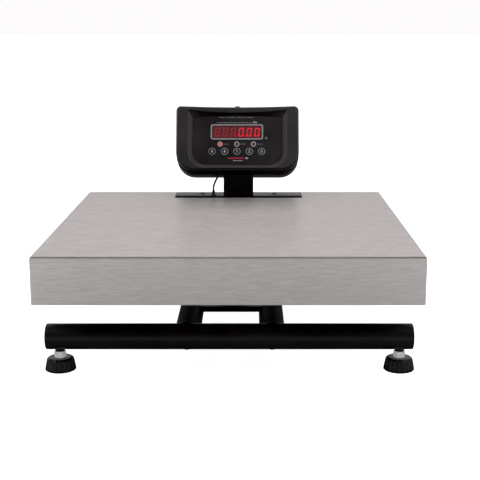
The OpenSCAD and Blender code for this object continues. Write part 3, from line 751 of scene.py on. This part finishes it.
def make_rear():
    radius = 9.5     # rounded back edge, mm

    def rear_rings(stations):
        """Rings from (inset, drop, depth) in mm."""
        return [at(head_ring(inset, drop), depth) for inset, drop, depth in stations]

    stations = [(0.6, REAR_DROP, STEP_D), (0.1, REAR_DROP, STEP_D + 0.6),
                (0.0, REAR_DROP, STEP_D + 2.0), (0.0, REAR_DROP, HEAD_D - radius - 1)]
    for i in range(10):
        a = radians(90 * i / 9)
        inset = radius * (1 - cos(a)) * 0.92
        stations.append((inset, REAR_DROP, HEAD_D - radius + radius * sin(a)))
    stations.append((radius * 0.92 + 1.0, REAR_DROP, HEAD_D))
    solid = loft(rear_rings(stations), xf=HEAD, angle=38)
    inside = loft(rear_rings([
        (WALL, 0.0, STEP_D - 1), (WALL, 0.0, STEP_D + 2.5), (WALL, REAR_DROP, STEP_D + 3.5),
        (WALL, REAR_DROP, HEAD_D - radius), (9.5, REAR_DROP, HEAD_D - 2.8)]), xf=HEAD)
    # a wall is left round the pocket, where the cavity stops short of it
    mesh = boolean(solid, boolean(inside, pocket(2.5)))
    mesh = boolean(mesh, pocket(0.0))

    # four corner holes, a larger one, a row of upright slots, and the cable's entry
    holes = [bore(u, v, (HEAD_D - 3, HEAD_D + 2), 3.4)
             for u, v in ((-86, 32), (86, 32), (-86, 90), (86, 90))]
    through = (HEAD_D - 6, HEAD_D + 2)
    holes.append(bore(50, 34, through, 5.1))
    slot_pitch = 7.0
    holes += [prism(rounded_rect(i * slot_pitch, 74.0, 1.1, 9.0, 1.05, 6), through)
              for i in range(-5, 6)]
    holes.append(upright_cylinder(*CABLE_EXIT, 0.0041, PAN_TOP + 0.02, PAN_TOP + 0.038, 24))
    mesh = boolean(mesh, join(holes))
    piece("rear_shell", finish_mesh(mesh, 38), "rear_abs_mat", "rear_housing")


make_front()
make_rear()


# ------------------------------------------------------------------ display
# Front and back depths of the thin layers on the overlay, mm
INK = (FLOOR_D - 0.86, FLOOR_D - 0.79)
KEY_INK = (FLOOR_D - 0.96, FLOOR_D - 0.89)
MASK = (FLOOR_D - 0.975, FLOOR_D - 0.90)
BORDER = (FLOOR_D - 1.06, FLOOR_D - 0.985)
SEGMENT = (FLOOR_D + 0.75, FLOOR_D + 1.02)


def ccw(points):
    pairs = zip(points, points[1:] + points[:1])
    area_sum = sum(p[0] * q[1] - q[0] * p[1] for p, q in pairs)
    return points if area_sum > 0 else points[::-1]


def digit_bars(centre_u):
    """The seven bars of one digit, as outlines in the head's (u, v) plane."""
    half_h, half_w = 14.4 / 2, 8.3 / 2
    bar, gap = 1.75, 0.28
    slant = tan(radians(8.5))
    half = bar / 2

    def lean(points):
        return [(centre_u + x + y * slant, WIN_V + y) for x, y in points]

    def level(side):
        y, x = side * (half_h - half), half_w - gap
        return lean([(-x, y + side * half), (x, y + side * half),
                     (x - bar, y - side * half), (-x + bar, y - side * half)])

    def middle():
        x, y = half_w - half - gap, half * 0.9
        return lean([(-x + half, -y), (x - half, -y), (x, 0), (x - half, y), (-x + half, y), (-x, 0)])

    def upright(side, upper):
        x = side * (half_w - half)
        outer, inner = x + side * half, x - side * half
        near, far = gap, half_h - gap
        if upper:
            return lean([(outer, near + half * 0.4), (outer, far), (inner, far - bar),
                         (inner, near + half), (x, near)])
        return lean([(outer, -far), (inner, -far + bar), (inner, -near - half),
                     (x, -near), (outer, -near - half * 0.4)])

    return {"top": level(1), "bottom": level(-1), "middle": middle(),
            "upper_right": upright(1, True), "upper_left": upright(-1, True),
            "lower_right": upright(1, False), "lower_left": upright(-1, False)}


def make_digits():
    """Six digits; the right three show 0, with a point after the first of them."""
    first_u, pitch = -33.3, 13.1
    lit, unlit = [], []
    for i in range(6):
        u = first_u + pitch * i
        for name, points in digit_bars(u).items():
            on = i >= 3 and name != "middle"
            (lit if on else unlit).append(prism(ccw(points), SEGMENT))
        point = circle(u + 4.6, WIN_V - 6.3, 0.95, 16)
        (lit if i == 3 else unlit).append(prism(point, SEGMENT))
    piece("digit_segments_lit", join(lit), "segment_lit_mat")
    piece("digit_segments_unlit", join(unlit), "segment_ghost_mat")


def window_ring(outer, inner, depths):
    """A ring round the window, from (half width, half height, corner radius) pairs in mm."""
    return ring_plate(rounded_rect(WIN_U, WIN_V, *outer, 10),
                      rounded_rect(WIN_U, WIN_V, *inner, 10), depths)


def make_window_frame():
    """Black film mask round the window, under the printed border."""
    reach = max(abs(corner.x - HEAD_X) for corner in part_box("display_window")) * 1000
    mask = window_ring((reach + 2.2, 14.6, 3.0), (41.6, 11.3, 2.7), MASK)
    piece("window_mask", mask, "overlay_film_mat")
    border = window_ring((43.15, 12.85, 4.0), (41.2, 10.9, 2.6), BORDER)
    piece("window_border", border, "border_ink_mat")


def lamp_dome(u):
    radius, height, base = 2.5, 0.9, FLOOR_D - 0.6
    steps, n = 5, 28
    rings = [at(circle(u, LAMP_V, radius, n), base + 2.0)]
    for i in range(steps + 1):
        a = radians(86 * i / steps)
        rings.append(at(circle(u, LAMP_V, radius * cos(a), n), base - height * sin(a)))
    return loft(rings, xf=HEAD, angle=50)


def make_lamps():
    """Three status lamps with printed rings; the left one is on."""
    for i, u in enumerate(LAMP_U):
        material = "led_on_mat" if i == 0 else "led_off_mat"
        piece(f"status_lamp_{i + 1}", lamp_dome(u), material)
    rings = [ring_plate(circle(u, LAMP_V, 4.25), circle(u, LAMP_V, 2.95), INK) for u in LAMP_U]
    piece("lamp_rings", join(rings), "white_ink_mat")


make_digits()
make_window_frame()
make_lamps()


# ------------------------------------------------------------------ keys and printing
def rect(u0, v0, u1, v1):
    return [(u0, v0), (u1, v0), (u1, v1), (u0, v1)]


def printed(outlines, depths=INK):
    return [prism(ccw(points), depths) for points in outlines]


# Symbol outlines about each key's centre, mm
KEY_SYMBOLS = {
    "up_key": [[(-2.3, -0.2), (2.3, -0.2), (0, 2.8)], rect(-0.95, -2.4, 0.95, -0.2)],
    "down_key": [[(-2.3, 0.2), (0, -2.8), (2.3, 0.2)], rect(-0.95, 0.2, 0.95, 2.4)],
    "tare_key": [rect(-1.9, 1.5, 1.9, 2.4), rect(-0.5, -2.4, 0.5, 1.5)],
    "zero_key": [rect(-1.8, 1.6, 1.8, 2.4), rect(-1.8, -2.4, 1.8, -1.6),
                 [(-1.8, -1.6), (-0.7, -1.6), (1.8, 1.6), (0.7, 1.6)]],
    "unit_key": [rect(-1.6, -2.4, -0.9, 2.4), rect(0.9, -2.4, 1.6, 2.4),
                 rect(-0.9, 1.7, 0.9, 2.4), rect(-0.9, -2.4, 0.9, -1.7),
                 rect(-0.9, -0.3, 0.9, 0.3)],
}


def make_key_prints():
    """A ring and a symbol on each key."""
    for name, u in KEY_U.items():
        ring = ring_plate(circle(u, KEY_V, 5.62, 48), circle(u, KEY_V, 4.98, 48), KEY_INK)
        symbol = [[(u + x, KEY_V + y) for x, y in points] for points in KEY_SYMBOLS[name]]
        mesh = join([ring] + printed(symbol, KEY_INK))
        piece(name + "_print", mesh, "white_ink_mat", body=name)


def dashes(centre_u, v, width, height, seed, lengths=(1.6, 5.6), gap=1.5):
    """A row of short plain bars in place of small print."""
    rng = random.Random(seed)
    u, end = centre_u - width / 2, centre_u + width / 2
    bars = []
    while u < end - 1.0:
        length = min(rng.uniform(*lengths), end - u)
        bars.append(rect(u, v - height / 2, u + length, v + height / 2))
        u += length + gap
    return bars


def make_overlay_prints():
    marks = dashes(-1.8, 90.2, width=57, height=0.85, seed=3)
    marks += dashes(-5.0, 81.4, width=58, height=0.95, seed=11)
    for u, seed in zip(LAMP_U, (32, 59, 86)):
        marks += dashes(u + 10.4, LAMP_V, width=9.0, height=0.7, seed=seed,
                        lengths=(2.0, 4.0), gap=0.7)
    piece("print_marks", join(printed(marks)), "dim_ink_mat")
    oval = ring_plate(rounded_rect(28.6, 81.6, 3.4, 1.7, 1.69, 10),
                      rounded_rect(28.6, 81.6, 2.3, 0.7, 0.69, 10), INK)
    piece("oval_mark", oval, "white_ink_mat")
    # a long red stripe, a short white one to its right, and a thin white line below
    red = [rounded_rect(-2.6, 21.6, 13.2, 1.15, 1.1, 6)]
    white = [rounded_rect(15.0, 21.6, 2.6, 1.15, 1.1, 6), rounded_rect(0.6, 17.6, 8.0, 0.42, 0.4, 6)]
    piece("stripe_mark", join(printed(red)), "red_ink_mat")
    piece("stripe_mark_light", join(printed(white)), "white_ink_mat")


def make_unit_text():
    """The unit, in plain letters."""
    text = bpy.data.curves.new("unit_kg", "FONT")
    text.body = "kg"
    text.size = 5.4 * MM
    text.extrude = 0.035 * MM
    text.resolution_u = 3
    holder = bpy.data.objects.new("unit_tmp", text)
    bpy.context.scene.collection.objects.link(holder)
    bpy.context.view_layer.update()
    mesh = bpy.data.meshes.new_from_object(holder)
    bpy.data.objects.remove(holder)
    place = Matrix.Translation((43.6 * MM, sum(INK) / 2 * MM, 54.9 * MM))
    mesh.transform(HEAD @ place @ Matrix.Rotation(radians(90), 4, "X"))
    piece("unit_kg", finish_mesh(mesh), "bright_ink_mat")


make_key_prints()
make_overlay_prints()
make_unit_text()


# ------------------------------------------------------------------ bracket
def bracket_fillet(half):
    """Inside of the fold between the flange and the neck."""
    radius, overlap = 0.003, 0.0005
    y, z = BRACKET_Y + BRACKET_T, PAN_TOP + BRACKET_T
    rings = []
    for x in (COL_X - half, COL_X + half):
        ring = [(x, y - overlap, z - overlap), (x, y + radius, z - overlap)]
        for i in range(9):
            a = radians(270 - 90 * i / 8)
            ring.append((x, y + radius + radius * cos(a), z + radius + radius * sin(a)))
        ring.append((x, y - overlap, z + radius))
        rings.append(ring)
    return loft(rings)


def make_bracket():
    """Flange on the pan, upright neck, and a wide crosspiece at its top.

    The parts are set off from each other by tiny steps, so that no faces coincide.
    """
    y, z = BRACKET_Y, PAN_TOP
    back = y + BRACKET_T
    flange_half, neck_half, tee_half = 0.1055, 0.02475, 0.079
    flange = bevel_box((COL_X - flange_half, y + 0.0003, z),
                       (COL_X + flange_half, y + 0.038, z + BRACKET_T), 0.45 * MM)
    neck = bevel_box((COL_X - neck_half, y, z + 0.0001),
                     (COL_X + neck_half, back, z + 0.0565), 0.4 * MM)
    tee = bevel_box((COL_X - tee_half, y + 0.00002, z + 0.041),
                    (COL_X + tee_half, back - 0.00002, z + 0.057), 0.4 * MM)
    mesh = boolean(flange, neck, "UNION")
    mesh = boolean(mesh, tee, "UNION")
    mesh = boolean(mesh, bracket_fillet(half=0.0243), "UNION")
    mesh = boolean(mesh, plate_holes(z - 0.002, z + 0.006, 28))
    piece("bracket_plate", finish_mesh(mesh, 35), "black_paint_mat",
          "indicator_bracket")


def make_dimple():
    """Raised line on the front of the neck, in the shape of a flat-topped half oval."""
    half, drop = 6.9 * MM, 6.6 * MM
    y, top = BRACKET_Y - 0.0001, PAN_TOP + 0.0394
    points = [(COL_X - half + 2 * half * i / 8, y, top) for i in range(9)]
    for i in range(1, 16):
        a = pi * i / 16
        points.append((COL_X + half * cos(a), y, top - drop * sin(a) ** 0.8))
    mesh = sweep(points, lambda t: 0.0007, 8, closed=True)
    piece("neck_dimple", mesh, "housing_abs_mat")


make_bracket()
make_dimple()


# ------------------------------------------------------------------ cable
CABLE_END = 45.0     # height of the cable's end above the pan, mm


def bezier(a, b, c, d, t):
    return a * (1 - t) ** 3 + b * (3 * t * (1 - t) ** 2) + c * (3 * t * t * (1 - t)) + d * t ** 3


def cable_path():
    """From the load cell, under the pan, up through the cable hole and into the head."""
    pan = PAN_TOP * 1000
    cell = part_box("load_cell")[0].z * 1000
    hole_x, hole_y = (c * 1000 for c in CABLE_HOLE)
    exit_x, exit_y = (c * 1000 for c in CABLE_EXIT)
    below = Vector((hole_x, hole_y, pan - 1.2 - 4))
    above = Vector((hole_x, hole_y, pan + 3 + 8.5))
    entry = Vector((exit_x, exit_y, pan + 31.5))
    # start, two handles, end (mm), number of steps
    curves = [
        (Vector((-24, 48, cell + 25)), Vector((-60, 48, cell + 25)),
         Vector((-85, 80, cell + 20)), Vector((-85, 120, cell + 34)), 24),
        (Vector((-84, 130, cell + 38)), Vector((-80, 175, cell + 52)),
         Vector((hole_x, hole_y, pan - 1.2 - 30)), below, 24),
        (above, above + Vector((-0.6, 0.3, 7)), entry + Vector((-4.6, -0.4, -7.5)), entry, 22),
    ]
    points = [bezier(*ends, i / n) for *ends, n in curves for i in range(n + 1)]
    points.append(Vector((exit_x, exit_y, pan + CABLE_END)))
    # leave out points closer than half a millimetre
    spaced = [points[0]]
    for point in points[1:]:
        if (point - spaced[-1]).length > 0.5:
            spaced.append(point)
    return [point * MM for point in spaced]


def make_cable():
    above_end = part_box("load_cell_cable")[1].z - (PAN_TOP + CABLE_END * MM)
    radius = max(0.001, min(0.0016, above_end) + 0.0002)
    mesh = sweep(cable_path(), lambda t: radius, 14)
    piece("signal_cable", mesh, "cable_pvc_mat", "load_cell_cable")


make_cable()


# ------------------------------------------------------------------ frame details
def weld_bead(rail_x, tube_y, side):
    """A rippled bead round the saddle where a rail meets a cross tube of the same size."""
    r = 0.01745 + 0.0003
    tube_z = centre("front_cross_tube")[2]
    n = 120
    points = []
    for i in range(n):
        a = 2 * pi * (i + 0.5) / n
        y = tube_y + side * r * sqrt(sin(a) * sin(a) + 0.004)
        points.append((rail_x + r * sin(a), y, tube_z + r * cos(a)))
    ripple = lambda t: 0.0017 + 0.00028 * sin(t * 2 * pi * 30)
    return sweep(points, ripple, 8, closed=True, angle=60)


def make_welds():
    rail_x, tube_y = centre("right_rail")[0], centre("rear_cross_tube")[1]
    beads = [weld_bead(i * rail_x, j * tube_y, -j) for i in (-1, 1) for j in (-1, 1)]
    piece("rail_welds", join(beads, 60), "black_tube_mat", body="frame")


def make_knob(foot):
    """A tapered round grip with scalloped sides."""
    lo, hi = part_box(foot + "_knob")
    stud_x, stud_y, _ = centre(foot + "_stud")
    rim = (hi.y - lo.y) / 2 * 1000
    top = hi.z * 1000
    # radius and height in mm, share of the full scallop depth
    profile = [
        (15.2, 3.2, 0), (15.2, 1.0, 0), (15.5, 0.8, 0),
        (rim - 1.6, 0.8, 0), (rim - 0.9, 0.85, 0.5), (rim - 0.35, 1.15, 0.9),
        (rim - 0.05, 1.9, 1), (rim - 0.6, 4.6, 1), (rim - 1.2, 8.0, 1),
        (rim - 1.9, 11.5, 1), (rim - 2.45, 14.2, 1), (rim - 2.8, 15.6, 0.9),
        (rim - 3.15, 16.5, 0.55), (rim - 3.7, 17.1, 0.15), (rim - 4.6, 17.75, 0),
        (rim - 5.4, 18.15, 0), (rim - 6.4, 18.3, 0), (rim - 8.4, top, 0), (7.4, top, 0),
    ]
    lobes, scallop = 18, 1.15
    n = lobes * 14
    rings = []
    for radius, z, share in profile:
        ring = []
        for j in range(n):
            a = 2 * pi * j / n
            t = (j / n * lobes) % 1.0
            off = min(t, 1 - t)      # distance from the lobe's middle, in lobe pitches
            if off < 0.10:
                height = 1.0
            elif off > 0.27:
                height = 0.0
            else:
                height = 0.5 + 0.5 * cos(pi * (off - 0.10) / 0.17)
            r = radius - scallop * share * (1 - height)
            ring.append((r * cos(a) * MM + stud_x, r * sin(a) * MM + stud_y, z * MM))
        rings.append(ring)
    piece(foot + "_grip", loft(rings, angle=50), "knob_nylon_mat",
          foot + "_knob", body=foot + "_foot_knob")


make_welds()
for foot_name in FEET:
    make_knob(foot_name)


# ------------------------------------------------------------------ load cell beam
def beam_piece(node, name, material):
    """A copy of a CAD piece of the load cell, cut nine times between the two clamps.

    In the real cell the live end sinks with the platform and the fixed end stays put, so it
    bends; here the cuts give the beam vertices along its length.
    """
    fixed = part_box("lower_cell_spacer")[0].y
    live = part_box("upper_cell_spacer")[1].y
    mesh = NODES[node].data.copy()
    bm = bmesh.new()
    bm.from_mesh(mesh)
    for i in range(9):
        y = live + (fixed - live) * i / 8
        bmesh.ops.bisect_plane(bm, geom=bm.verts[:] + bm.edges[:] + bm.faces[:],
                               plane_co=(0, y, 0), plane_no=(0, 1, 0), dist=1e-7)
    bm.to_mesh(mesh)
    bm.free()
    obj = add_object(name, mesh, material)
    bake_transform(obj)
    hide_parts(node)


beam_piece("load_cell", "load_cell_beam", "aluminium_mat")
beam_piece("load_cell_potting", "cell_potting", "potting_mat")


# ------------------------------------------------------------------ world
def make_world():
    """A bright sweep low down and behind, a dark room above and in front."""
    world = bpy.data.worlds.new("studio")
    bpy.context.scene.world = world
    world.use_nodes = True
    g = Graph(world.node_tree)
    _, y, z = g.split(g.node("TexCoord").outputs["Generated"])
    front_light = g.smooth(z, span=(0.05, 0.42), to=(0.38, 0.05))
    back = g.smooth(y, span=(-0.1, 0.75), to=(0.0, 1.0))
    back_light = g.smooth(z, span=(0.25, 0.8), to=(0.68, 0.25))
    ambient = g.add(g.mul(front_light, g.math("SUBTRACT", 1.0, back)), g.mul(back_light, back))
    camera_ray = g.node("LightPath").outputs["Is Camera Ray"]
    seen = 0.98      # strength of the backdrop as the camera sees it
    strength = g.feed(g.node("Mix", data_type="FLOAT"), {"Factor": camera_ray, 2: ambient, 3: seen})
    g.feed(g.tree.nodes["Background"], {"Color": (1, 0.985, 0.985), "Strength": strength[0]})


# ------------------------------------------------------------------ floor
def floor_material():
    """A pale sweep: near white to the camera; in the light it returns, a painted shadow darkens it
    near the scale and a painted glow lifts it further out.
    """
    g, bsdf = new_material("floor_mat")
    vector = g.object_vector()
    mottle = g.noise(vector, scale=3.0, detail=3)
    seen = g.feed(bsdf, {"Base Color": g.mix(mottle, (0.88, 0.87, 0.87), (0.90, 0.89, 0.89)),
                         "Roughness": 0.9, "Specular IOR Level": 0.1})
    distance = g.feed(g.node("VectorMath", operation="LENGTH"), {0: vector})["Value"]
    seen_glow = g.feed(g.node("Emission"),
                       {"Strength": g.smooth(distance, span=(0.35, 1.6), to=(0.95, 1.0))})
    # painted shadow: the floor's colour in the light it returns is darkened near the scale, and a
    # painted glow brightens it further out
    diffuse = g.feed(g.node("BsdfDiffuse"),
                     {"Color": g.smooth(distance, span=(0.35, 0.85), to=(0.30, 0.92))})
    dim_glow = g.feed(g.node("Emission"),
                      {"Strength": g.smooth(distance, span=(0.45, 0.95), to=(0.0, 0.32))})
    to_camera = g.feed(g.node("AddShader"), {0: seen[0], 1: seen_glow[0]})
    to_scene = g.feed(g.node("AddShader"), {0: diffuse[0], 1: dim_glow[0]})
    camera_ray = g.node("LightPath").outputs["Is Camera Ray"]
    surface = g.feed(g.node("MixShader"), {0: camera_ray, 1: to_scene[0], 2: to_camera[0]})
    g.feed(g.tree.nodes["Material Output"], {"Surface": surface[0]})


def make_floor():
    half, z = 30.0, -0.0165     # below the feet at full travel
    floor_material()
    mesh = bpy.data.meshes.new("floor")
    corners = [(-half, -half, z), (half, -half, z), (half, half, z), (-half, half, z)]
    mesh.from_pydata(corners, [], [(0, 1, 2, 3)])
    add_object("floor", mesh, "floor_mat")


# ------------------------------------------------------------------ lights and camera
def softbox(name, location, target, size, power):
    light = bpy.data.lights.new(name, "AREA")
    light.shape = "RECTANGLE"
    light.size, light.size_y = size
    light.energy = power
    light.color = (1, 1, 1)
    obj = bpy.data.objects.new(name, light)
    obj.location = location
    aim = Vector(target) - Vector(location)
    obj.rotation_euler = aim.to_track_quat("-Z", "Y").to_euler()
    bpy.context.scene.collection.objects.link(obj)


def make_camera():
    camera = bpy.data.cameras.new("camera")
    camera.sensor_width = 36.0
    camera.lens = 77.8725
    camera.shift_x = -0.021875
    camera.clip_start = 0.05
    camera.clip_end = 100
    obj = bpy.data.objects.new("camera", camera)
    obj.location = (0.028, -1.5172, PAN_TOP + 0.293)
    look_down = 12.08
    obj.rotation_euler = (radians(90 - look_down), 0, 0)
    bpy.context.scene.collection.objects.link(obj)
    bpy.context.scene.camera = obj


def set_view():
    view = bpy.context.scene.view_settings
    view.view_transform = "Standard"
    view.look = "None"
    view.exposure = 0.0
    view.gamma = 1.0
    view.use_curve_mapping = True
    view.curve_mapping.black_level = (0.0022, 0.0025, 0.0024)
    view.curve_mapping.update()


make_world()
make_floor()
softbox("softbox_left", (-1.9, -0.9, 2.1), target=(0, 0, 0.15), size=(1.5, 1.5), power=26.5)
softbox("softbox_right", (1.9, -0.9, 2.1), target=(0, 0, 0.15), size=(1.5, 1.5), power=25.0)
softbox("softbox_top", (0.0, 1.1, 2.2), target=(0, 0, 0.1), size=(2.2, 1.4), power=13.5)
softbox("softbox_high", (0.0, -0.75, 2.7), target=(0, 0.1, 0.2), size=(1.4, 0.6), power=5.5)
make_camera()
set_view()
